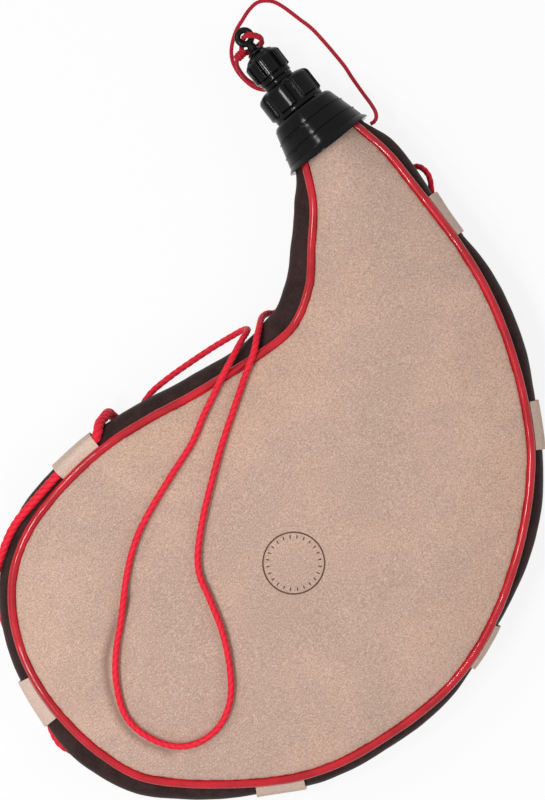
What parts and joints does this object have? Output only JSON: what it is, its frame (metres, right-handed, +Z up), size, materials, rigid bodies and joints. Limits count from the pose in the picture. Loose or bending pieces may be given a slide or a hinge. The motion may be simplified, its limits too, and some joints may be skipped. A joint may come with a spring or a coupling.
{
  "type": "leather bota bag",
  "caption": "Curved suede drinking bag with a dark gusset and red piping, a ringed black nozzle with filler nut and screw cap, a carrying cord through suede tabs and a thin cap keeper cord.",
  "frame": {"origin": "centre of the flat patch of the back panel that the bag lies on", "axes": "+Y along the nozzle, out of the bag; +Z up from the surface it lies on, through the stamped front; +X to the right of the nozzle, seen from the front"},
  "size_m": [0.3798, 0.3945, 0.0596],
  "materials": {
    "suede": "matt napped suede",
    "gusset_leather": "smooth dark brown, low sheen",
    "piping_red": "glossy coated cord",
    "carry_cord_red": "twisted cord",
    "keeper_cord_red": "fine braided cord",
    "black_plastic": "moulded, half gloss",
    "eye_plastic": "moulded, half gloss",
    "latex": "smooth, translucent amber",
    "seal_rubber": "plain"
  },
  "bodies": {
    "bag": {"front_panel": "suede", "back_panel": "suede", "gusset": "gusset_leather", "front_piping": "piping_red", "back_piping": "piping_red", "liner": "latex", "tab_1": "suede", "tab_2": "suede", "tab_3": "suede", "tab_4": "suede", "tab_5": "suede", "tab_6": "suede", "collar": "black_plastic", "mouth_tube": "black_plastic", "edge_cord": "carry_cord_red", "sling_cord": "carry_cord_red", "carry_knot": "carry_cord_red", "keeper_cord": "keeper_cord_red"},
    "nut_carrier": {"filler_gasket": "seal_rubber", "tether_knot": "keeper_cord_red"},
    "nut": {"filler_nut": "black_plastic"},
    "eye": {"cap_eye": "eye_plastic", "keeper_knot": "keeper_cord_red", "keeper_cord_cap": "keeper_cord_red"},
    "cap": {"cap": "black_plastic", "cap_seal": "seal_rubber"}
  },
  "joints": [
    {"name": "nut_lift", "type": "slide", "parent": "bag", "child": "nut_carrier", "axis": [0, 1, 0], "range_m": [0, 0.0241], "deforming": ["keeper_cord"]},
    {"name": "nut_turn", "type": "hinge", "parent": "nut_carrier", "child": "nut", "pos_m": [0.15148, 0.174, 0.0285], "axis": [0, 1, 0], "range_deg": [0, 1440]},
    {"name": "cap_lift", "type": "slide", "parent": "nut", "child": "eye", "axis": [0, 1, 0], "range_m": [0, 0.0161], "deforming": ["keeper_cord_cap"]},
    {"name": "cap_turn", "type": "hinge", "parent": "eye", "child": "cap", "pos_m": [0.15148, 0.174, 0.0285], "axis": [0, 1, 0], "range_deg": [0, 1440]}
  ],
  "couplings": [
    {"joint": "nut_lift", "follows": "nut_turn", "m_per_rad": 0.00095493},
    {"joint": "cap_lift", "follows": "cap_turn", "m_per_rad": 0.00063662}
  ]
}
